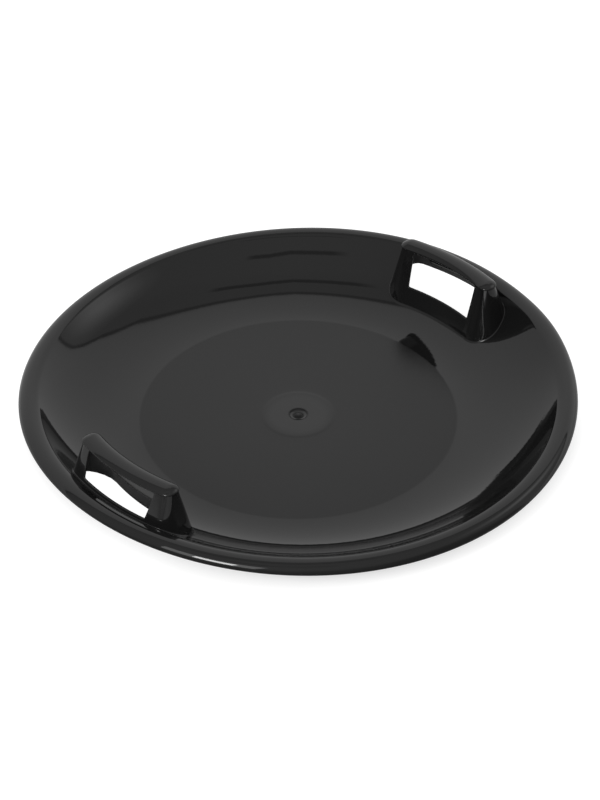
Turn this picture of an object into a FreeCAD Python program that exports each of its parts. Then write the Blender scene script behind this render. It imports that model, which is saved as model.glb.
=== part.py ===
# Saucer sled: a round dish with a rolled rim, and two hollow handles that carry the grips.
# Millimetres, +Z up. The origin is the centre of the flat sliding face under the dish.
# The handles stand on the X axis, one on each side.
import FreeCAD
import Part
import math
import os

# Dish
dish_diameter = 600.0
dish_thickness = 3.0
wall_width = 115.0
rim_rise = 47.0
rim_crest_radius = 15.0
rim_roll_radius = 13.2
rim_roll_degrees = 70.0
rim_edge_chamfer = 0.8

# Moulding gate in the middle of the dish
gate_pad_diameter = 78.0
gate_pad_rise = 0.4
gate_pit_diameter = 21.0
gate_pit_depth = 1.4
gate_nub_diameter = 6.0
gate_nub_rise = 1.1
gate_nub_root = 0.7
gate_nub_chamfer = 0.6

# Handle bridges: hollow humps over an opening in the dish
bridge_rim_inset = 32.0
bridge_foot_depth = 44.5
bridge_top_depth = 16.9
bridge_top_length = 128.4
bridge_top_rise = 30.6
bridge_draft_degrees = 14.0
bridge_inner_top_corner = 4.5
bridge_inner_foot_corner = 25.0
bridge_outer_top_corner = 7.0
bridge_outer_foot_corner = 12.0
bridge_corner_limit_share = 0.45
bridge_wall = 2.4
bridge_plate = 2.5
bridge_bond_gap = 0.2

# Hand windows in the bridges, sills measured up from the foot of their own wall
inner_sill_rise = 22.8
outer_sill_rise = 2.6
window_head_margin = 0.6
inner_window_sill_width = 88.0
inner_window_head_width = 92.0
outer_window_sill_width = 90.0
outer_window_head_width = 98.0
window_corner_radius = 3.0

# Grip caps that sit over the bridges' tops
grip_overhang = 1.5
grip_skirt = 3.1
grip_crown = 2.9
grip_side_height = 1.2
grip_lip_chamfer = 0.6
grip_seat_clearance = 0.2

# All cuts run this far past the material
overrun = 5.0

# Worked out from the sizes above
dish_radius = dish_diameter / 2
floor_top = dish_thickness
roll_angle = math.radians(rim_roll_degrees)
crest_radius = dish_radius - rim_roll_radius * math.sin(roll_angle)
floor_radius = crest_radius - wall_width
wall_slope = 2 * math.atan(rim_rise / wall_width)
wall_radius = wall_width / math.sin(wall_slope) - rim_crest_radius
wall_end_radius = floor_radius + wall_radius * math.sin(wall_slope)
rim_top = floor_top + rim_rise
bridge_top = rim_top + bridge_top_rise
plate_underside = bridge_top - bridge_plate
bridge_draft = math.tan(math.radians(bridge_draft_degrees))
outer_foot_radius = dish_radius - bridge_rim_inset
inner_foot_radius = outer_foot_radius - bridge_foot_depth
grip_low = bridge_top - grip_skirt
grip_height = grip_skirt + grip_crown
handle_angles = {"right": 0.0, "left": 180.0}

up = FreeCAD.Vector(0, 0, 1)
origin = FreeCAD.Vector(0, 0, 0)


def in_section(radius, height):
    """A point of the turned section, which lies in the XZ plane."""
    return FreeCAD.Vector(radius, 0, height)


def section_arc(centre, radius, start, end):
    """An arc of the section; angles are measured from straight up, positive outwards."""
    def point(angle):
        return centre + in_section(radius * math.sin(angle), radius * math.cos(angle))
    return Part.Arc(point(start), point((start + end) / 2), point(end)).toShape()


def dish_skin(offset):
    """The dish's top line from the axis to the rim's lip, moved outwards by offset along its normal."""
    wall_centre = in_section(floor_radius, floor_top + wall_radius)
    crest_centre = in_section(crest_radius, rim_top - rim_crest_radius)
    roll_centre = in_section(crest_radius, rim_top - rim_roll_radius)
    floor_end = in_section(floor_radius, floor_top + offset)
    return [
        Part.LineSegment(in_section(0, floor_top + offset), floor_end).toShape(),
        section_arc(wall_centre, wall_radius - offset, math.pi, math.pi - wall_slope),
        section_arc(crest_centre, rim_crest_radius + offset, -wall_slope, 0),
        section_arc(roll_centre, rim_roll_radius + offset, 0, roll_angle),
    ]


def skin_ends(edges):
    """First and last point of a run of section edges."""
    first = edges[0].Vertexes[0].Point
    last = max((v.Point for v in edges[-1].Vertexes), key=lambda p: p.x)
    return first, last


def turned(edges):
    """The solid made by turning a closed section about the dish's axis."""
    face = Part.Face(Part.Wire(Part.__sortEdges__(edges)))
    return face.revolve(origin, up, 360)


def below_skin(offset):
    """Everything under the dish's top surface, raised by offset, and well out past the rim."""
    skin = dish_skin(offset)
    first, last = skin_ends(skin)
    low = -overrun
    outside = dish_diameter
    corners = [last, in_section(outside, last.z), in_section(outside, low), in_section(0, low), first]
    sides = [Part.LineSegment(a, b).toShape() for a, b in zip(corners, corners[1:])]
    return turned(skin + sides)


def dish_height(radius):
    """Height of the dish's top surface at a radius up to the rim's crest."""
    if radius <= floor_radius:
        return floor_top
    if radius <= wall_end_radius:
        return floor_top + wall_radius - math.sqrt(wall_radius ** 2 - (radius - floor_radius) ** 2)
    fall = rim_crest_radius - math.sqrt(rim_crest_radius ** 2 - (crest_radius - radius) ** 2)
    return rim_top - fall


def bridge_slot(inner, outer, half_length, inner_round, outer_round, height):
    """The hump's outline between two radii: flat ends between rounded inner and outer corners."""
    def corner(radius, reach):
        across = half_length - radius
        return FreeCAD.Vector(math.sqrt(reach ** 2 - across ** 2), across, height)

    def on_arc(centre, radius):
        flat = FreeCAD.Vector(centre.x, centre.y, 0)
        return flat * (radius / flat.Length) + up * height

    def bent(centre, radius, start, end):
        middle = (start + end) / 2 - centre
        return Part.Arc(start, centre + middle * (radius / middle.Length), end).toShape()

    def mirrored(point):
        return FreeCAD.Vector(point.x, -point.y, point.z)

    inner_corner = corner(inner_round, inner + inner_round)
    outer_corner = corner(outer_round, outer - outer_round)
    inner_start = on_arc(inner_corner, inner)
    inner_end = FreeCAD.Vector(inner_corner.x, half_length, height)
    outer_end = FreeCAD.Vector(outer_corner.x, half_length, height)
    outer_start = on_arc(outer_corner, outer)
    inner_middle = FreeCAD.Vector(inner, 0, height)
    outer_middle = FreeCAD.Vector(outer, 0, height)
    edges = [
        Part.Arc(mirrored(inner_start), inner_middle, inner_start).toShape(),
        bent(inner_corner, inner_round, inner_start, inner_end),
        Part.LineSegment(inner_end, outer_end).toShape(),
        bent(outer_corner, outer_round, outer_end, outer_start),
        Part.Arc(outer_start, outer_middle, mirrored(outer_start)).toShape(),
        bent(mirrored(outer_corner), outer_round, mirrored(outer_start), mirrored(outer_end)),
        Part.LineSegment(mirrored(outer_end), mirrored(inner_end)).toShape(),
        bent(mirrored(inner_corner), inner_round, mirrored(inner_end), mirrored(inner_start)),
    ]
    return Part.Wire(edges)


def bridge_top_radii():
    """Inner and outer radius of the hump's top, where the drafted inner wall ends."""
    inner = inner_foot_radius + (bridge_top - dish_height(inner_foot_radius)) * bridge_draft
    return inner, inner + bridge_top_depth


def bridge_outline(height, outset):
    """The hump's outline at a height, moved outwards by outset; its corners widen towards the foot."""
    top_inner, top_outer = bridge_top_radii()
    fall = bridge_top - height
    inner_fall = fall / (bridge_top - dish_height(inner_foot_radius))
    outer_fall = fall / (bridge_top - dish_height(outer_foot_radius))
    spread = fall * bridge_draft
    inner = top_inner - spread - outset
    outer = top_outer + (outer_foot_radius - top_outer) * outer_fall + outset
    half_length = bridge_top_length / 2 + spread + outset
    inner_growth = (bridge_inner_foot_corner - bridge_inner_top_corner) * inner_fall
    outer_growth = (bridge_outer_foot_corner - bridge_outer_top_corner) * outer_fall
    widest = (outer - inner) * bridge_corner_limit_share
    inner_round = min(bridge_inner_top_corner + inner_growth + outset, widest)
    outer_round = min(bridge_outer_top_corner + outer_growth + outset, widest)
    return bridge_slot(inner, outer, half_length, inner_round, outer_round, height)


def hump(outset, low, high):
    """The hump between two heights, as a solid."""
    return Part.makeLoft([bridge_outline(low, outset), bridge_outline(high, outset)], True, True)


def window(sill_width, head_width, low, near, far):
    """The cutter of one hand window above a sill height, between two distances from the axis."""
    high = plate_underside - window_head_margin
    half_sill = sill_width / 2
    half_head = head_width / 2
    depth = far - near
    corners = [(-half_sill, low), (half_sill, low), (half_head, high), (-half_head, high)]
    points = [FreeCAD.Vector(near, across, height) for across, height in corners]
    outline = Part.makePolygon(points + points[:1])
    block = Part.Face(outline).extrude(FreeCAD.Vector(depth, 0, 0))
    through_edges = [e for e in block.Edges if e.BoundBox.XLength > depth / 2]
    return block.makeFillet(window_corner_radius, through_edges)


def gate():
    """What the moulding gate leaves: the pad to add, the pit to cut from it, and the nub in the pit."""
    pad = Part.makeCylinder(gate_pad_diameter / 2, gate_pad_rise + dish_thickness / 2)
    pad.translate(up * (dish_thickness / 2))
    pit_floor = floor_top + gate_pad_rise - gate_pit_depth
    pit = Part.makeCylinder(gate_pit_diameter / 2, gate_pit_depth + overrun)
    pit.translate(up * pit_floor)
    nub = Part.makeCylinder(gate_nub_diameter / 2, gate_nub_rise + gate_nub_root)
    nub.translate(up * (pit_floor - gate_nub_root))
    top_edges = [e for e in nub.Edges if e.BoundBox.ZMin > pit_floor]
    return pad, pit, nub.makeChamfer(gate_nub_chamfer, top_edges)


def saucer_dish():
    """The turned shell with its rolled rim, the gate marks, and an opening under each handle."""
    top = dish_skin(0)
    under = dish_skin(-dish_thickness)
    top_first, top_last = skin_ends(top)
    under_first, under_last = skin_ends(under)
    through = (top_last - under_last).normalize() * rim_edge_chamfer
    onward = FreeCAD.Vector(through.z, 0, -through.x)
    lip = [top_last, top_last + onward - through, under_last + onward + through, under_last]
    lip_edges = [Part.LineSegment(a, b).toShape() for a, b in zip(lip, lip[1:])]
    axis = Part.LineSegment(under_first, top_first).toShape()
    shell = turned(top + under + lip_edges + [axis])
    pad, pit, nub = gate()
    shell = shell.fuse(pad).cut(pit).fuse(nub)
    low = dish_height(inner_foot_radius) - dish_thickness - overrun
    for angle in handle_angles.values():
        shell = shell.cut(placed(hump(-bridge_wall, low, plate_underside), angle))
    return shell.removeSplitter()


def handle_bridge():
    """One hollow handle on +X: drafted walls with two windows, under a top plate."""
    inner_foot = dish_height(inner_foot_radius)
    outer_foot = dish_height(outer_foot_radius)
    low = inner_foot - overrun
    body = hump(0, low, bridge_top).cut(below_skin(bridge_bond_gap))
    body = body.cut(hump(-bridge_wall, low - overrun, plate_underside))
    middle = sum(bridge_top_radii()) / 2
    inner_sill = inner_foot + inner_sill_rise
    outer_sill = outer_foot + outer_sill_rise
    inner_start = inner_foot_radius - overrun
    outer_end = outer_foot_radius + overrun
    inside = window(inner_window_sill_width, inner_window_head_width, inner_sill, inner_start, middle)
    outside = window(outer_window_sill_width, outer_window_head_width, outer_sill, middle, outer_end)
    return body.cut(inside).cut(outside).removeSplitter()


def grip_cap():
    """One grip on +X: a rounded cap whose skirt hangs over the bridge's top."""
    bar = Part.Face(bridge_outline(grip_low, grip_overhang)).extrude(up * grip_height)
    middle = grip_low + grip_height / 2
    top_edges = [e for e in bar.Edges if e.BoundBox.ZMin > middle]
    bar = bar.makeFillet(grip_height - grip_side_height, top_edges)
    lip_edges = [e for e in bar.Edges if e.BoundBox.ZMax < grip_low + grip_lip_chamfer]
    bar = bar.makeChamfer(grip_lip_chamfer, lip_edges)
    return bar.cut(hump(grip_seat_clearance, grip_low - overrun, bridge_top + grip_seat_clearance))


def placed(shape, angle):
    """A copy turned about the dish's axis."""
    turned_copy = shape.copy()
    turned_copy.rotate(origin, up, angle)
    return turned_copy


def build():
    """Every piece of the sled by name."""
    pieces = {"saucer_dish": saucer_dish()}
    bridge = handle_bridge()
    grip = grip_cap()
    for side, angle in handle_angles.items():
        pieces[side + "_handle_bridge"] = placed(bridge, angle)
        pieces[side + "_grip_cap"] = placed(grip, angle)
    return pieces


os.makedirs("parts", exist_ok=True)
for name, shape in build().items():
    shape.exportStep("parts/" + name + ".step")
    print(name, "solids", len(shape.Solids), "valid", shape.isValid(), "mm3", round(shape.Volume))
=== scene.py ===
"""Saucer sled of black plastic: the dressed model, a white studio and the camera."""

import math

import bmesh
import bpy
from mathutils import Matrix, Quaternion, Vector


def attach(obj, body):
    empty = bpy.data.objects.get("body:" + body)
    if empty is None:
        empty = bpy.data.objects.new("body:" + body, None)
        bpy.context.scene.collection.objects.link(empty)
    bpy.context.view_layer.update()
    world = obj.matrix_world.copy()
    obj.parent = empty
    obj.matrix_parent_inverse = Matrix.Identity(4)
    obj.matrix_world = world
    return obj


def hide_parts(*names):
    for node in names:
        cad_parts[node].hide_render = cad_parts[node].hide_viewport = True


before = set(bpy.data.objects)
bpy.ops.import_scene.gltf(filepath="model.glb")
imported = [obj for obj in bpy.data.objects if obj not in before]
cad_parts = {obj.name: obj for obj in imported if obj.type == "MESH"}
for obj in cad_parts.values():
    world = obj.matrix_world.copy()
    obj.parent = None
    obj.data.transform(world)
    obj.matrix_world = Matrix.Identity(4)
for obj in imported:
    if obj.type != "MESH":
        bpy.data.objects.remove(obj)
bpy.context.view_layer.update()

# Lengths below are in millimetres
mm = 0.001

# Dish
dish_radius = 300.0
dish_thickness = 3.0
wall_width = 115.0
rim_rise = 47.0
rim_crest_radius = 15.0
rim_roll_radius = 13.2
rim_roll_degrees = 70.0
lip_degrees = 68.0
lip_round = 0.8
rim_saddle = 5.0
rim_lift = 2.5
rim_lift_turn = math.radians(-27.0)
rim_lift_spread = math.radians(11.0)
dish_segments = 360
wall_steps = 30
crest_steps = 16
roll_steps = 18
lip_steps = 6
floor_steps = 12
underside_ring_radius = 40.0
weld_distance = 0.002
sharp_angle = math.radians(35.0)

# Moulding gate in the middle of the dish
gate_pad_radius = 39.0
gate_pad_rise = 0.4
gate_pit_radius = 10.5
gate_pit_depth = 1.9
gate_nub_radius = 5.2
gate_nub_rise = 1.7
gate_pad_soft = 2.5
gate_pad_steps = 8
gate_nub_toe = 0.3
gate_pit_lip = 0.5
gate_pit_lip_drop = 0.02
gate_pit_rim = 1.5
gate_pad_ring_share = 0.6

# Handle bridges
bridge_rim_inset = 26.5
bridge_foot_depth = 50.0
bridge_top_depth = 16.9
bridge_top_length = 128.4
bridge_top_rise = 30.6
bridge_draft = math.tan(math.radians(14.0))
bridge_inner_top_corner = 6.8
bridge_inner_foot_corner = 25.0
bridge_outer_top_corner = 7.5
bridge_outer_foot_corner = 22.0
bridge_corner_limit_share = 0.45
least_corner = 0.6
bridge_wall = 2.4
bridge_plate = 2.5
foot_fillet = 2.0
foot_lift = 0.03
foot_halvings = 40
inner_sill_rise = 22.8
outer_sill_rise = 2.6
window_head_margin = 0.6
inner_window_halves = (44.0, 46.0)
outer_window_halves = (45.0, 49.0)
window_corner = 1.6
edge_support = 0.8
edge_support_share = 0.4
cutter_overrun = 5.0
smooth_levels = 2

# Grip caps
grip_overhang = 1.5
grip_skirt = 3.1
grip_crown = 2.9
grip_side_height = 1.2
grip_crown_radius = 15.5
grip_crown_half = 10.8
grip_crown_edge_inset = 0.3
grip_crown_top_inset = 10.0
grip_crown_steps = 10
grip_seat_clearance = 0.2
grip_seat_edge = 0.3
grip_seat_foot = 0.5
grip_lip_line = [(1.1, 0.0), (0.8, 0.0), (0.35, 0.1), (0.08, 0.36), (0.0, 0.7), (0.0, grip_side_height)]

# Worked out from the sizes above
floor_top = dish_thickness
roll_angle = math.radians(rim_roll_degrees)
crest_radius = dish_radius - rim_roll_radius * math.sin(roll_angle)
floor_radius = crest_radius - wall_width
wall_slope = 2 * math.atan(rim_rise / wall_width)
wall_radius = wall_width / math.sin(wall_slope) - rim_crest_radius
wall_end_radius = floor_radius + wall_radius * math.sin(wall_slope)
rim_top = floor_top + rim_rise
bridge_top = rim_top + bridge_top_rise
plate_underside = bridge_top - bridge_plate
window_head = plate_underside - window_head_margin
outer_foot_radius = dish_radius - bridge_rim_inset
inner_foot_radius = outer_foot_radius - bridge_foot_depth
grip_low = bridge_top - grip_skirt
grip_height = grip_skirt + grip_crown


def dish_height(radius):
    """Height of the dish's top surface at a radius."""
    if radius <= floor_radius:
        return floor_top
    if radius <= wall_end_radius:
        return floor_top + wall_radius - math.sqrt(wall_radius ** 2 - (radius - floor_radius) ** 2)
    bend_radius = rim_crest_radius if radius <= crest_radius else rim_roll_radius
    return rim_top - bend_radius + math.sqrt(bend_radius ** 2 - (radius - crest_radius) ** 2)


def saddle(x, y):
    """How far the soft dish is drawn up at the handles and sags between them."""
    out = (math.hypot(x, y) - floor_radius) / (dish_radius - floor_radius)
    turn = math.atan2(y, x)
    lift = rim_lift * math.exp(-((turn - rim_lift_turn) / rim_lift_spread) ** 2)
    return max(out, 0.0) ** 2 * (rim_saddle * math.cos(2 * turn) + lift)


def surface_height(x, y):
    """Height of the dish's top surface at a place."""
    return dish_height(math.hypot(x, y)) + saddle(x, y)


inner_foot = dish_height(inner_foot_radius)
outer_foot = dish_height(outer_foot_radius)
inner_sill = inner_foot + inner_sill_rise
outer_sill = outer_foot + saddle(outer_foot_radius, 0) + outer_sill_rise
top_inner = inner_foot_radius + (bridge_top - inner_foot) * bridge_draft
top_outer = top_inner + bridge_top_depth


def arc(centre_radius, centre_height, radius, start, end, count):
    """Points of a section arc; angles run from straight up, positive outwards."""
    points = []
    for i in range(count + 1):
        angle = start + (end - start) * i / count
        reach = centre_radius + radius * math.sin(angle)
        points.append((reach, centre_height + radius * math.cos(angle)))
    return points


def dish_skin(offset):
    """The dish's wall and rim line from the floor's edge to the lip, moved along its normal."""
    lip = math.radians(lip_degrees)
    wall_end = math.pi - wall_slope
    wall_centre = floor_top + wall_radius
    crest_centre = rim_top - rim_crest_radius
    roll_centre = rim_top - rim_roll_radius
    wall = arc(floor_radius, wall_centre, wall_radius - offset, math.pi, wall_end, wall_steps)
    crest = arc(crest_radius, crest_centre, rim_crest_radius + offset, -wall_slope, 0, crest_steps)
    roll = arc(crest_radius, roll_centre, rim_roll_radius + offset, 0, lip, roll_steps)
    return wall + crest[1:] + roll[1:]


def gate_line():
    """The section of the floor from the axis outwards: the nub, the hollow pit and the raised pad."""
    pad = floor_top + gate_pad_rise
    pit = pad - gate_pit_depth
    shares = (0.0, 0.25, 0.45, 0.62, 0.76, 0.88, 0.96)
    line = [(gate_nub_radius * share, pit + gate_nub_rise * (1 - share ** 3)) for share in shares]
    line.append((gate_nub_radius + gate_nub_toe, pit))
    for share in (0.2, 0.4, 0.6, 0.75, 0.88, 0.96):
        reach = gate_nub_radius + (gate_pit_radius - gate_nub_radius) * share
        line.append((reach, pit + gate_pit_depth * share ** 2))
    line.append((gate_pit_radius + gate_pit_lip, pad - gate_pit_lip_drop))
    line.append((gate_pit_radius + gate_pit_rim, pad))
    line.append((gate_pad_ring_share * gate_pad_radius, pad))
    for i in range(gate_pad_steps + 1):
        share = i / gate_pad_steps
        ease = share * share * (3 - 2 * share)
        line.append((gate_pad_radius + gate_pad_soft * (2 * share - 1), pad - gate_pad_rise * ease))
    edge = line[-1][0]
    for i in range(1, floor_steps):
        line.append((edge + (floor_radius - edge) * i / floor_steps, floor_top))
    return line


def lip_line():
    """The rounded edge from the top skin's end to the underside's."""
    lip = math.radians(lip_degrees)
    across = Vector((math.sin(lip), math.cos(lip)))
    onward = Vector((math.cos(lip), -math.sin(lip)))
    centre = Vector((crest_radius, rim_top - rim_roll_radius))
    top_end = centre + across * rim_roll_radius
    low_end = centre + across * (rim_roll_radius - dish_thickness)
    upper = []
    lower = []
    for i in range(1, lip_steps + 1):
        turn = math.radians(90 / lip_steps * i)
        ahead = onward * (lip_round * math.sin(turn))
        inward = across * (lip_round * (1 - math.cos(turn)))
        upper.append(tuple(top_end + ahead - inward))
        lower.append(tuple(low_end + ahead + inward))
    return upper + lower[::-1]


def new_object(name, points, faces):
    """A mesh object from points in millimetres, its faces turned outwards."""
    mesh = bpy.data.meshes.new(name)
    mesh.from_pydata([(x * mm, y * mm, z * mm) for x, y, z in points], [], faces)
    work = bmesh.new()
    work.from_mesh(mesh)
    bmesh.ops.recalc_face_normals(work, faces=work.faces)
    work.to_mesh(mesh)
    work.free()
    obj = bpy.data.objects.new(name, mesh)
    bpy.context.scene.collection.objects.link(obj)
    for face in mesh.polygons:
        face.use_smooth = True
    return obj


def turned(name, line):
    """A closed section turned about the dish's axis; its first and last points lie on the axis."""
    ring = line[1:-1]
    points = [(0, 0, line[0][1]), (0, 0, line[-1][1])]
    for i in range(dish_segments):
        angle = 2 * math.pi * i / dish_segments
        for r, z in ring:
            x = r * math.cos(angle)
            y = r * math.sin(angle)
            points.append((x, y, z + saddle(x, y)))
    count = len(ring)
    faces = []
    for i in range(dish_segments):
        a = 2 + i * count
        b = 2 + (i + 1) % dish_segments * count
        faces.append((0, a, b))
        faces += [(a + k, a + k + 1, b + k + 1, b + k) for k in range(count - 1)]
        faces.append((1, b + count - 1, a + count - 1))
    return new_object(name, points, faces)


def hump_sizes(height, outset):
    """Radii, half length and corner radii of the hump's outline at a height."""
    fall = bridge_top - height
    inner_fall = fall / (bridge_top - inner_foot)
    outer_fall = fall / (bridge_top - outer_foot)
    spread = fall * bridge_draft
    inner = top_inner - spread - outset
    outer = top_outer + (outer_foot_radius - top_outer) * outer_fall + outset
    widest = (outer - inner) * bridge_corner_limit_share
    inner_growth = (bridge_inner_foot_corner - bridge_inner_top_corner) * inner_fall
    outer_growth = (bridge_outer_foot_corner - bridge_outer_top_corner) * outer_fall
    inner_round = bridge_inner_top_corner + inner_growth + outset
    outer_round = bridge_outer_top_corner + outer_growth + outset
    return {
        "inner": inner,
        "outer": outer,
        "half": bridge_top_length / 2 + spread + outset,
        "inner_round": max(min(inner_round, widest), least_corner),
        "outer_round": max(min(outer_round, widest), least_corner),
    }


def jamb_share(radius, turn, height, sill, halves):
    """Where a window's jamb stands on an arc wall, as a share of the arc's half."""
    rise = (height - sill) / (window_head - sill)
    across = halves[0] + (halves[1] - halves[0]) * rise
    return min(math.asin(across / radius) / turn, jamb_limit_share)


def warped(step, jamb):
    """A column's place on an arc wall, so that the column at jamb_step follows the jamb."""
    if step <= jamb_step:
        return jamb * step / jamb_step
    return jamb + (1 - jamb) * (step - jamb_step) / (1 - jamb_step)


def arc_turns(sizes):
    """Half angles of an outline's inner and outer arcs, between the corners."""
    inner_reach = sizes["inner"] + sizes["inner_round"]
    outer_reach = sizes["outer"] - sizes["outer_round"]
    inner_turn = math.asin((sizes["half"] - sizes["inner_round"]) / inner_reach)
    outer_turn = math.asin((sizes["half"] - sizes["outer_round"]) / outer_reach)
    return inner_turn, outer_turn


def on_circle(x, y, radius, turn):
    """A point of a circle round a middle."""
    return x + radius * math.cos(turn), y + radius * math.sin(turn)


def outline_point(part, step, sizes):
    """A point of an outline of the given sizes: the part of the outline and the place along it."""
    inner_turn, outer_turn = arc_turns(sizes)
    inner_round = sizes["inner_round"]
    outer_round = sizes["outer_round"]
    inner_x = (sizes["inner"] + inner_round) * math.cos(inner_turn)
    outer_x = (sizes["outer"] - outer_round) * math.cos(outer_turn)
    if part == "inner":
        return on_circle(0, 0, sizes["inner"], inner_turn * step)
    if part == "inner_corner":
        turn = math.pi + inner_turn - step * (math.pi / 2 + inner_turn)
        return on_circle(inner_x, sizes["half"] - inner_round, inner_round, turn)
    if part == "end":
        return inner_x + (outer_x - inner_x) * step, sizes["half"]
    if part == "outer_corner":
        turn = math.pi / 2 - step * (math.pi / 2 - outer_turn)
        return on_circle(outer_x, sizes["half"] - outer_round, outer_round, turn)
    return on_circle(0, 0, sizes["outer"], outer_turn * step)


def hump_point(column, height, outset):
    """A point of the hump's outline at a height; columns beside the windows follow their jambs."""
    part, step = column
    sizes = hump_sizes(height, outset)
    inner_turn, outer_turn = arc_turns(sizes)
    if part == "inner":
        jamb = jamb_share(sizes["inner"], inner_turn, height, inner_sill, inner_window_halves)
        step = warped(step, jamb)
    if part == "outer":
        jamb = jamb_share(sizes["outer"], outer_turn, height, outer_sill, outer_window_halves)
        step = warped(step, jamb)
    return outline_point(part, step, sizes)


# Columns of a hump's half outline, from the inner wall's middle round to the outer wall's middle
jamb_step = 0.8
jamb_limit_share = 0.975
arc_steps = [0.0, 0.15, 0.3, 0.45, 0.6, 0.772, 0.8, 0.816, 0.9]
part_steps = 5
half_columns = (
    [("inner", step) for step in arc_steps]
    + [("inner_corner", i / part_steps) for i in range(part_steps)]
    + [("end", i / part_steps) for i in range(part_steps)]
    + [("outer_corner", i / part_steps) for i in range(part_steps + 1)]
    + [("outer", step) for step in arc_steps[::-1]]
)
side_count = len(arc_steps)
end_count = 3 * part_steps


def mirrored_loop(half):
    """A closed loop from the points of its half with y from 0 up and back to 0."""
    return half + [(x, -y, z) for x, y, z in half[-2:0:-1]]


def sill_of(index):
    """The sill's height at a column; round the ends it climbs from one sill to the other."""
    climb = min(max((index - side_count) / end_count, 0.0), 1.0)
    climb = climb * climb * (3 - 2 * climb)
    return inner_sill + (outer_sill - inner_sill) * climb


def foot_of(column, outset):
    """Height at which a column of the hump meets the dish."""
    low = floor_top
    high = bridge_top
    for _ in range(foot_halvings):
        middle = (low + high) / 2
        if middle > surface_height(*hump_point(column, middle, outset)):
            high = middle
        else:
            low = middle
    return high


def foot_point(column, outset):
    """Where a column of the hump meets the dish."""
    height = foot_of(column, outset)
    x, y = hump_point(column, height, outset)
    return Vector((x, y, height + foot_lift))


def column_points(index, outset, top):
    """One column of a skin from its foot to its top."""
    column = half_columns[index]
    sill = sill_of(index)
    foot = foot_of(column, outset)
    points = []
    if outset == 0:
        fillet = min(foot_fillet, edge_support_share * (sill - foot))
        toe = foot_point(column, fillet)
        heel = foot_point(column, 0)
        shoulder = Vector((*hump_point(column, foot + fillet, 0), foot + fillet))
        for share in (0.0, 0.03, 0.25, 0.5, 0.75, 1.0):
            rest = 1 - share
            points.append(toe * rest * rest + heel * 2 * rest * share + shoulder * share * share)
        low = foot + fillet
    else:
        points.append(foot_point(column, outset))
        for share in (0.02, 0.06, 0.1, 0.14, 0.18):
            height = foot + (sill - foot) * share
            points.append(Vector((*hump_point(column, height, outset), height)))
        low = points[-1].z
    gap = min(edge_support, edge_support_share * (sill - low))
    heights = [low + (sill - gap - low) * share for share in (0.33, 0.67, 1.0)]
    heights += [sill, sill + window_corner]
    heights += [sill + (window_head - sill) * share for share in (0.3, 0.5, 0.7)]
    heights += [window_head - window_corner, window_head]
    heights += [window_head + (top - window_head) * share for share in (0.3, 0.8, 1.0)]
    points += [Vector((*hump_point(column, h, outset), h)) for h in heights]
    return [tuple(p) for p in points]


# Rows of a skin at the sill and the head of the windows
sill_row = 9
head_row = 14


def skin_rings(outset, top):
    """The rings of one skin of the hump, foot first."""
    columns = [column_points(i, outset, top) for i in range(len(half_columns))]
    round_corners(columns)
    return [mirrored_loop([column[row] for column in columns]) for row in range(len(columns[0]))]


def round_corners(columns):
    """Draws the corners of both windows in towards the opening."""
    jamb = arc_steps.index(jamb_step)
    last = len(columns) - 1
    pull = 1 - math.sqrt(0.5)
    for corner, inside in ((jamb, jamb - 1), (last - jamb, last - jamb + 1)):
        for row, beyond in ((sill_row, sill_row + 1), (head_row, head_row - 1)):
            here = Vector(columns[corner][row])
            along = Vector(columns[inside][row]) - here
            upward = Vector(columns[corner][beyond]) - here
            moved = here + (along.normalized() + upward.normalized()) * window_corner * pull
            columns[corner][row] = tuple(moved)


def outline_ring(sizes, height, sides, corners, ends):
    """A closed ring along an outline of the given sizes."""
    half = [outline_point("inner", i / sides, sizes) for i in range(sides)]
    half += [outline_point("inner_corner", i / corners, sizes) for i in range(corners)]
    half += [outline_point("end", i / ends, sizes) for i in range(ends)]
    half += [outline_point("outer_corner", i / corners, sizes) for i in range(corners)]
    half += [outline_point("outer", 1 - i / sides, sizes) for i in range(sides + 1)]
    return mirrored_loop([(x, y, height) for x, y in half])


class Shell:
    """Points and faces gathered ring by ring."""

    def __init__(self):
        self.points = []
        self.faces = []

    def ring(self, loop):
        """Adds a ring and returns its point numbers."""
        first = len(self.points)
        self.points += loop
        return list(range(first, first + len(loop)))

    def band(self, low, high, skip=()):
        """Quads between two rings, except over the columns to skip."""
        count = len(low)
        for i in range(count):
            if i not in skip:
                j = (i + 1) % count
                self.faces.append((low[i], low[j], high[j], high[i]))

    def cap(self, ring, sides, ends):
        """Closes a ring with a grid of quads between its two long sides."""
        count = len(ring)
        inner = [ring[(i - sides) % count] for i in range(2 * sides + 1)]
        outer = [ring[(sides + ends + 2 * sides - i) % count] for i in range(2 * sides + 1)]
        near = [ring[(-sides - i) % count] for i in range(ends + 1)]
        far = [ring[sides + i] for i in range(ends + 1)]
        rows = [inner]
        for k in range(1, ends):
            share = k / ends
            row = [near[k]]
            for i in range(1, 2 * sides):
                a = Vector(self.points[inner[i]])
                b = Vector(self.points[outer[i]])
                row.append(len(self.points))
                self.points.append(tuple(a + (b - a) * share))
            rows.append(row + [far[k]])
        rows.append(outer)
        for low, high in zip(rows, rows[1:]):
            for i in range(2 * sides):
                self.faces.append((low[i], low[i + 1], high[i + 1], high[i]))


def window_columns(count):
    """Numbers of the columns that the inner and the outer window take out of a ring."""
    jamb = arc_steps.index(jamb_step)
    middle = count // 2
    inner = {i % count for i in range(-jamb, jamb)}
    outer = set(range(middle - jamb, middle + jamb))
    return inner | outer


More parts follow.
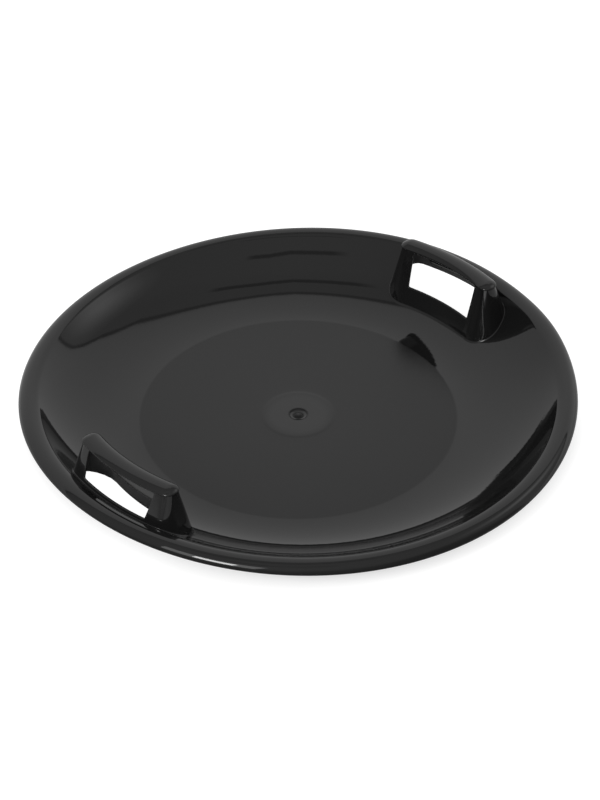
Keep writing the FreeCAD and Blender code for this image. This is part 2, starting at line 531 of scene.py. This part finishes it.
def rim_of_windows(shell, outside, inside, skip):
    """Joins the two skins round both windows."""
    count = len(outside[0])
    for row in range(sill_row, head_row):
        for i in range(count):
            here = i in skip
            before = (i - 1) % count in skip
            if here != before:
                above = row + 1
                shell.faces.append((outside[row][i], outside[above][i], inside[above][i], inside[row][i]))
    for row in (sill_row, head_row):
        for i in skip:
            j = (i + 1) % count
            shell.faces.append((outside[row][i], outside[row][j], inside[row][j], inside[row][i]))


def bridge_mesh(name):
    """A hollow handle bridge on +X: two skins, windows, a top plate and filleted feet."""
    shell = Shell()
    outside = [shell.ring(loop) for loop in skin_rings(0, bridge_top)]
    inside = [shell.ring(loop) for loop in skin_rings(-bridge_wall, plate_underside)]
    skip = window_columns(len(outside[0]))
    for row in range(len(outside) - 1):
        gone = skip if sill_row <= row < head_row else ()
        shell.band(outside[row], outside[row + 1], gone)
        shell.band(inside[row + 1], inside[row], gone)
    rim_of_windows(shell, outside, inside, skip)
    shell.band(inside[0], outside[0])
    sides = side_count + 2
    ends = (len(outside[0]) - 4 * sides) // 2
    shell.cap(outside[-1], sides, ends)
    shell.cap(inside[-1], sides, ends)
    return new_object(name, shell.points, shell.faces)


def grip_mesh(name):
    """A grip on +X: a crowned cap with rounded lips, whose skirt hangs over the bridge's top."""
    sides = 16
    corners = 5
    ends = 3
    shell = Shell()
    seat_top = bridge_top + grip_seat_clearance
    rings = []
    for height in (seat_top, seat_top - grip_seat_edge, grip_low + grip_seat_foot):
        loop = outline_ring(hump_sizes(height, grip_seat_clearance), height, sides, corners, ends)
        rings.append(shell.ring(loop))
    inset_and_rise = grip_lip_line[:]
    edge_turn = math.asin((grip_crown_half - grip_crown_edge_inset) / grip_crown_radius)
    top_turn = math.asin((grip_crown_half - grip_crown_top_inset) / grip_crown_radius)
    for i in range(grip_crown_steps + 1):
        turn = edge_turn + (top_turn - edge_turn) * i / grip_crown_steps
        inset = grip_crown_half - grip_crown_radius * math.sin(turn)
        inset_and_rise.append((inset, grip_height - grip_crown_radius * (1 - math.cos(turn))))
    for inset, rise in inset_and_rise:
        sizes = hump_sizes(grip_low, grip_overhang - inset)
        loop = outline_ring(sizes, grip_low + rise, sides, corners, ends)
        rings.append(shell.ring(loop))
    for low, high in zip(rings, rings[1:]):
        shell.band(low, high)
    across = 2 * corners + ends
    shell.cap(rings[-1], sides, across)
    shell.cap(rings[0], sides, across)
    return new_object(name, shell.points, shell.faces)


def smoothed(obj):
    """Adds a subdivision surface."""
    modifier = obj.modifiers.new("smooth", "SUBSURF")
    modifier.levels = smooth_levels
    modifier.render_levels = smooth_levels
    return obj


def half_turned(obj, name):
    """A copy turned by half a turn about the dish's axis; its points move and its origin stays."""
    mesh = obj.data.copy()
    mesh.name = name
    for vertex in mesh.vertices:
        vertex.co.x = -vertex.co.x
        vertex.co.y = -vertex.co.y
    copy = bpy.data.objects.new(name, mesh)
    bpy.context.scene.collection.objects.link(copy)
    return copy


def opening_cutter():
    """The solid inside of both humps, which opens the dish below the handles."""
    cutter_low = inner_foot - dish_thickness - cutter_overrun
    points = []
    faces = []
    for side in (1, -1):
        shell = Shell()
        rings = []
        for height in (cutter_low, plate_underside):
            half = [(*hump_point(column, height, -bridge_wall), height) for column in half_columns]
            rings.append(shell.ring(mirrored_loop(half)))
        shell.band(rings[0], rings[1])
        shell.faces.append(tuple(rings[1]))
        shell.faces.append(tuple(rings[0][::-1]))
        first = len(points)
        points += [(side * x, side * y, z) for x, y, z in shell.points]
        faces += [tuple(first + k for k in face) for face in shell.faces]
    return new_object("opening_cutter", points, faces)


def cut(obj, cutter):
    """Cuts one mesh from another and keeps the result as plain geometry."""
    modifier = obj.modifiers.new("openings", "BOOLEAN")
    modifier.operation = "DIFFERENCE"
    modifier.solver = "EXACT"
    modifier.object = cutter
    graph = bpy.context.evaluated_depsgraph_get()
    mesh = bpy.data.meshes.new_from_object(obj.evaluated_get(graph))
    mesh.name = obj.name
    obj.modifiers.clear()
    obj.data = mesh
    bpy.data.objects.remove(cutter)
    work = bmesh.new()
    work.from_mesh(mesh)
    # Weld slivers away, and split the faces of many corners, which an export could split into overlaps
    bmesh.ops.remove_doubles(work, verts=work.verts, dist=weld_distance * mm)
    bmesh.ops.dissolve_degenerate(work, edges=work.edges, dist=weld_distance * mm)
    bmesh.ops.triangulate(work, faces=[face for face in work.faces if len(face.verts) > 4])
    work.to_mesh(mesh)
    work.free()
    for face in mesh.polygons:
        face.use_smooth = True
    mesh.set_sharp_from_angle(angle=sharp_angle)


dish_line = gate_line() + dish_skin(0) + lip_line() + dish_skin(-dish_thickness)[::-1]
dish = turned("sled_dish", dish_line + [(underside_ring_radius, 0.0), (0.0, 0.0)])
cut(dish, opening_cutter())
right_bridge = smoothed(bridge_mesh("bridge_right"))
left_bridge = smoothed(half_turned(right_bridge, "bridge_left"))
right_grip = smoothed(grip_mesh("grip_right"))
left_grip = smoothed(half_turned(right_grip, "grip_left"))


def set_inputs(tree, node, inputs):
    """Links sockets to a node's inputs, or sets the inputs to values."""
    for name, source in inputs.items():
        if isinstance(source, bpy.types.NodeSocket):
            tree.links.new(source, node.inputs[name])
        else:
            node.inputs[name].default_value = source


def add_node(tree, kind, inputs, **settings):
    """Adds a shader node with its settings and inputs."""
    node = tree.nodes.new("ShaderNode" + kind)
    for name, value in settings.items():
        setattr(node, name, value)
    set_inputs(tree, node, inputs)
    return node


def add_ramp(tree, factor, stops):
    """Adds a colour ramp of grey stops given as (place, level) and gives its colour."""
    ramp = add_node(tree, "ValToRGB", {"Fac": factor})
    elements = ramp.color_ramp.elements
    for place, _ in stops[1:-1]:
        elements.new(place)
    for element, (place, level) in zip(elements, stops):
        element.position = place
        element.color = (level, level, level, 1)
    return ramp.outputs["Color"]


def add_blend(tree, kind, first, second, factor):
    """Blends two colours by a socket or a number and gives the result."""
    inputs = {"Factor": factor, "A": first, "B": second}
    return add_node(tree, "Mix", inputs, data_type="RGBA", blend_type=kind).outputs["Result"]


def parts_along(tree, vector, axes):
    """The parts of a vector along the axes that are given by name."""
    parts = {}
    for name, axis in axes.items():
        product = add_node(tree, "VectorMath", {0: vector, 1: axis}, operation="DOT_PRODUCT")
        parts[name] = product.outputs["Value"]
    return parts


# Plastic: uneven patches of tint and gloss, and a fine peel
plastic_ior = 1.5
patch_scale = 9.0
patch_detail = 5.0
patch_low = 0.3
patch_high = 0.75
patch_tints = (0.85, 1.0)
patch_roughs = (0.85, 1.15)
peel_scale = 260.0
peel_detail = 3.0
peel_strength = 0.03
peel_depth = 0.4


def plastic(name, tints, roughs, shines):
    """Glossy black moulded plastic; the stops lie along the way from the axis to the rim."""
    material = bpy.data.materials.new(name)
    material.use_nodes = True
    tree = material.node_tree
    place = add_node(tree, "TexCoord", {}).outputs["Object"]
    across = 1 / (dish_radius * mm)
    flat = add_node(tree, "VectorMath", {0: place, 1: (across, across, 0)}, operation="MULTIPLY")
    reach = add_node(tree, "VectorMath", {0: flat.outputs["Vector"]}, operation="LENGTH").outputs["Value"]

    noise = add_node(tree, "TexNoise", {"Vector": place, "Scale": patch_scale, "Detail": patch_detail})
    patches = noise.outputs["Fac"]
    cloud = add_ramp(tree, patches, [(patch_low, patch_tints[0]), (patch_high, patch_tints[1])])
    tint = add_blend(tree, "MULTIPLY", add_ramp(tree, reach, tints), cloud, 1.0)
    sheen = add_node(tree, "MapRange", {
        "Value": patches,
        "From Min": patch_low,
        "From Max": patch_high,
        "To Min": patch_roughs[0],
        "To Max": patch_roughs[1],
    })
    gloss = add_ramp(tree, reach, roughs)
    rough = add_node(tree, "Math", {0: gloss, 1: sheen.outputs["Result"]}, operation="MULTIPLY")

    peel = add_node(tree, "TexNoise", {"Vector": place, "Scale": peel_scale, "Detail": peel_detail})
    bump = add_node(tree, "Bump", {
        "Height": peel.outputs["Fac"],
        "Strength": peel_strength,
        "Distance": peel_depth * mm,
    })
    shader = tree.nodes["Principled BSDF"]
    set_inputs(tree, shader, {
        "IOR": plastic_ior,
        "Specular IOR Level": shines[-1][1],
        "Base Color": tint,
        "Roughness": rough.outputs["Value"],
        "Normal": bump.outputs["Normal"],
    })
    if len(shines) > 1:
        set_inputs(tree, shader, {"Specular IOR Level": add_ramp(tree, reach, shines)})
    return material


# The floor disc is a little matte, its gate pad paler, and the wall and rim are polished
dish_plastic = plastic(
    "black_dish_plastic",
    tints=[(0.0, 0.013), (0.09, 0.013), (0.135, 0.008), (0.572, 0.0065), (0.578, 0.009), (1.0, 0.008)],
    roughs=[(0.034, 0.05), (0.038, 0.22), (0.572, 0.22), (0.578, 0.03), (1.0, 0.025)],
    shines=[
        (0.0, 0.3), (0.008, 0.12), (0.02, 0.12), (0.024, 0.5), (0.027, 0.5), (0.03, 0.12), (0.034, 0.12),
        (0.037, 0.38), (0.1, 0.38), (0.135, 0.32), (0.572, 0.3), (0.578, 0.38), (1.0, 0.38),
    ],
)
handle_tints = [(0.7, 0.008), (0.95, 0.009)]
handle_shines = [(1.0, 0.38)]
bridge_roughs = [(0.7, 0.05), (0.95, 0.045)]
grip_roughs = [(0.7, 0.06), (0.95, 0.055)]
bridge_plastic = plastic("black_bridge_plastic", handle_tints, bridge_roughs, handle_shines)
grip_plastic = plastic("black_grip_plastic", handle_tints, grip_roughs, handle_shines)

for piece, node, finish, slot in (
    (dish, "saucer_dish", dish_plastic, "dish_plastic"),
    (right_bridge, "right_handle_bridge", bridge_plastic, "bridge_plastic"),
    (left_bridge, "left_handle_bridge", bridge_plastic, "bridge_plastic"),
    (right_grip, "right_grip_cap", grip_plastic, "grip_plastic"),
    (left_grip, "left_grip_cap", grip_plastic, "grip_plastic"),
):
    piece.data.materials.clear()
    piece.data.materials.append(finish)
    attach(piece, "root")
    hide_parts(node)

# Camera: seen from above the gap between the handles, its distance in metres
view_turn = math.radians(45.5)
view_rise = math.radians(38.65)
view_roll = math.radians(-0.43)
view_distance = 2.5
view_lens = 103.5
view_sensor = 36.0
view_shift_right = 0.0021
view_shift_up = 0.0179
right_hand = Vector((math.cos(view_turn), -math.sin(view_turn), 0))
away = Vector((math.sin(view_turn), math.cos(view_turn), 0))
towards = Vector((
    -math.sin(view_turn) * math.cos(view_rise),
    -math.cos(view_turn) * math.cos(view_rise),
    math.sin(view_rise),
))
aim = Vector((0, 0, floor_top * mm))
camera = bpy.data.objects.new("camera", bpy.data.cameras.new("camera"))
camera.data.lens = view_lens
camera.data.sensor_width = view_sensor
camera.data.shift_x = view_shift_right
camera.data.shift_y = view_shift_up
camera.location = aim + towards * view_distance
upright = (-towards).to_track_quat("-Z", "Y")
camera.rotation_euler = (upright @ Quaternion((0, 0, 1), view_roll)).to_euler()
bpy.context.scene.collection.objects.link(camera)
bpy.context.scene.camera = camera

# White studio: its ceiling's levels by degrees from the far horizon over the zenith to the near one
ceiling_levels = [
    (0, 0.55), (20, 0.61), (38, 0.68), (58, 0.75), (66, 0.75), (68, 0.68), (69.2, 0.22), (70.8, 0.2),
    (72, 0.4), (82, 0.42), (95, 0.48), (110, 0.5), (130, 0.52), (145, 0.46), (158, 0.28), (180, 0.2),
]
# By how many degrees the ceiling bends nearer towards the right, and its level from left to right
bend_degrees = [
    (-1, 0), (0, 0), (0.1, 3), (0.2, 4.3), (0.41, 6), (0.56, 14.5), (0.67, 28), (0.76, 35), (1, 45),
]
side_levels = [(0.0, 0.62), (0.25, 0.8), (0.5, 0.88), (0.75, 0.8), (1.0, 0.75)]
# Dark seams in the ceiling: degrees, half the width in degrees, and where it starts and ends sideways
seams = ((82.8, 1.9, -0.2, 0.25), (110.0, 2.1, -0.2, 0.21))
seam_level = 0.42
seam_edge_degrees = 0.7
seam_start_fade = 0.08
seam_end_fade = 0.04
# A soft oval light high on the right: directions by right, away and up, and half sizes as slopes
oval_middle = Vector((0.748, 0.225, 0.63)).normalized()
oval_way = Vector((-0.24, -0.88, 0.41))
oval_half_length = 0.42
oval_half_width = 0.24
oval_levels = [(0.0, 0.66), (0.2, 0.58), (0.5, 0.3), (0.75, 0.1), (1.0, 0.0)]
studio_strength = 1.55


def over_zenith(degrees):
    """Place on a ramp of an angle over the zenith."""
    return degrees / 180


def from_left(place):
    """Place on a ramp of a sideways part that runs from -1 to 1."""
    return (place + 1) / 2


world = bpy.data.worlds.new("studio")
bpy.context.scene.world = world
world.use_nodes = True
sky = world.node_tree
sky.nodes.clear()
direction = add_node(sky, "TexCoord", {}).outputs["Generated"]
view_way = {"Vector": direction, "Angle": view_turn}
facing = add_node(sky, "VectorRotate", view_way, rotation_type="Z_AXIS").outputs["Vector"]
axes = add_node(sky, "SeparateXYZ", {"Vector": facing}).outputs
over = add_node(sky, "Math", {0: axes["Z"], 1: axes["Y"]}, operation="ARCTAN2").outputs["Value"]
half_turn = add_node(sky, "MapRange", {"Value": over, "From Max": math.pi}).outputs["Result"]
side_range = {"Value": axes["X"], "From Min": -1.0, "From Max": 1.0}
sideways = add_node(sky, "MapRange", side_range).outputs["Result"]
bend_stops = [(from_left(place), over_zenith(degrees)) for place, degrees in bend_degrees]
bend = add_ramp(sky, sideways, bend_stops)
bent = add_node(sky, "Math", {0: half_turn, 1: bend}, operation="ADD").outputs["Value"]
ceiling = add_ramp(sky, bent, [(over_zenith(degrees), level) for degrees, level in ceiling_levels])
light = add_blend(sky, "MULTIPLY", ceiling, add_ramp(sky, sideways, side_levels), 1.0)

for degrees, half_width, start, end in seams:
    low = degrees - half_width
    high = degrees + half_width
    across = add_ramp(sky, bent, [
        (over_zenith(low), 1.0),
        (over_zenith(low + seam_edge_degrees), seam_level),
        (over_zenith(high - seam_edge_degrees), seam_level),
        (over_zenith(high), 1.0),
    ])
    along = add_ramp(sky, sideways, [
        (from_left(start - seam_start_fade), 0.0),
        (from_left(start), 1.0),
        (from_left(end - seam_end_fade), 1.0),
        (from_left(end), 0.0),
    ])
    light = add_blend(sky, "MULTIPLY", light, across, along)

oval_along = (oval_way - oval_middle * oval_way.dot(oval_middle)).normalized()
oval_across = oval_middle.cross(oval_along)
oval_axes = {"X": oval_along / oval_half_length, "Y": oval_across / oval_half_width}
oval_place = add_node(sky, "CombineXYZ", parts_along(sky, facing, oval_axes)).outputs["Vector"]
oval_reach = add_node(sky, "VectorMath", {0: oval_place}, operation="LENGTH").outputs["Value"]
light = add_blend(sky, "ADD", light, add_ramp(sky, oval_reach, oval_levels), 1.0)

round_about = add_node(sky, "Background", {"Color": light, "Strength": studio_strength})
seen = add_node(sky, "Background", {"Color": (1, 1, 1, 1), "Strength": 1.0})
which = add_node(sky, "MixShader", {
    "Fac": add_node(sky, "LightPath", {}).outputs["Is Camera Ray"],
    1: round_about.outputs["Background"],
    2: seen.outputs["Background"],
})
add_node(sky, "OutputWorld", {"Surface": which.outputs["Shader"]})


def studio_way(right, back, up):
    """A direction given by its parts to the right, away from the camera and up."""
    return (right_hand * right + away * back + Vector((0, 0, up))).normalized()


# A soft lamp behind the camera on the left and a glow round it: direction, then metres, then watts
lamp_length_way = studio_way(-0.8, 0.5, 0.0)
for name, way, distance, length, width, watts in (
    ("left_lamp", studio_way(-0.4, -0.7, 0.6), 2.6, 0.6, 0.5, 17.0),
    ("left_glow", studio_way(-0.42, -0.68, 0.62), 2.65, 1.5, 0.9, 10.0),
):
    lamp = bpy.data.objects.new(name, bpy.data.lights.new(name, "AREA"))
    lamp.data.shape = "RECTANGLE"
    lamp.data.size = length
    lamp.data.size_y = width
    lamp.data.energy = watts
    lamp.location = way * distance
    upward = way.cross(lamp_length_way).normalized()
    lamp.rotation_euler = Matrix((upward.cross(way), upward, way)).transposed().to_euler()
    bpy.context.scene.collection.objects.link(lamp)

# Pale floor just below the dish
floor_low = -0.3
floor_half = 6000.0
floor_grey = 0.75
# Seen by the camera it glows white, and its glow is set by place: a painted shade in a band below the
# near side of the rim, and full white nearer in, which paints out the real shadow under the dish; the
# thin grey part keeps some real shadow; places in metres
seen_grey = 0.45
seen_glow = 0.88
painted_shade_levels = [(0.29, 1.0), (0.315, 0.64), (0.354, 1.0)]
shade_shift = 0.06
shade_squeeze = 1.045
shade_start = -0.04
shade_full = 0.05

corners = [(-1, -1), (1, -1), (1, 1), (-1, 1)]
floor_points = [(floor_half * x, floor_half * y, floor_low) for x, y in corners]
ground = new_object("studio_floor", floor_points, [(0, 1, 2, 3)])
paper = bpy.data.materials.new("studio_paper")
paper.use_nodes = True
sheet = paper.node_tree
sheet.nodes.clear()
position = add_node(sheet, "NewGeometry", {}).outputs["Position"]
parts = parts_along(sheet, position, {"X": right_hand * shade_squeeze, "Y": -away})
flat_place = add_node(sheet, "CombineXYZ", parts).outputs["Vector"]
shade_way = {0: flat_place, 1: (0, -shade_shift, 0)}
shade_reach = add_node(sheet, "VectorMath", shade_way, operation="DISTANCE").outputs["Value"]
# Painted shade on the floor: lower glow in a band below the near rim, and full glow inside it over the
# shaded ground under the dish
shade = add_ramp(sheet, shade_reach, painted_shade_levels)
near_range = {"Value": parts["Y"], "From Min": shade_start, "From Max": shade_full}
near_side = add_node(sheet, "MapRange", near_range).outputs["Result"]
# The plain white glow away from the near side, and the painted shade on it
strength = add_node(sheet, "Mix", {"Factor": near_side, "A": seen_glow, "B": shade}).outputs["Result"]
glow = add_node(sheet, "Emission", {"Strength": strength})
thin = add_node(sheet, "BsdfDiffuse", {"Color": (seen_grey, seen_grey, seen_grey, 1)})
matt = add_node(sheet, "BsdfDiffuse", {"Color": (floor_grey, floor_grey, floor_grey, 1)})
both = add_node(sheet, "AddShader", {0: thin.outputs["BSDF"], 1: glow.outputs["Emission"]})
pick = add_node(sheet, "MixShader", {
    "Fac": add_node(sheet, "LightPath", {}).outputs["Is Camera Ray"],
    1: matt.outputs["BSDF"],
    2: both.outputs["Shader"],
})
add_node(sheet, "OutputMaterial", {"Surface": pick.outputs["Shader"]})
ground.data.materials.append(paper)

bpy.context.scene.view_settings.view_transform = "Standard"
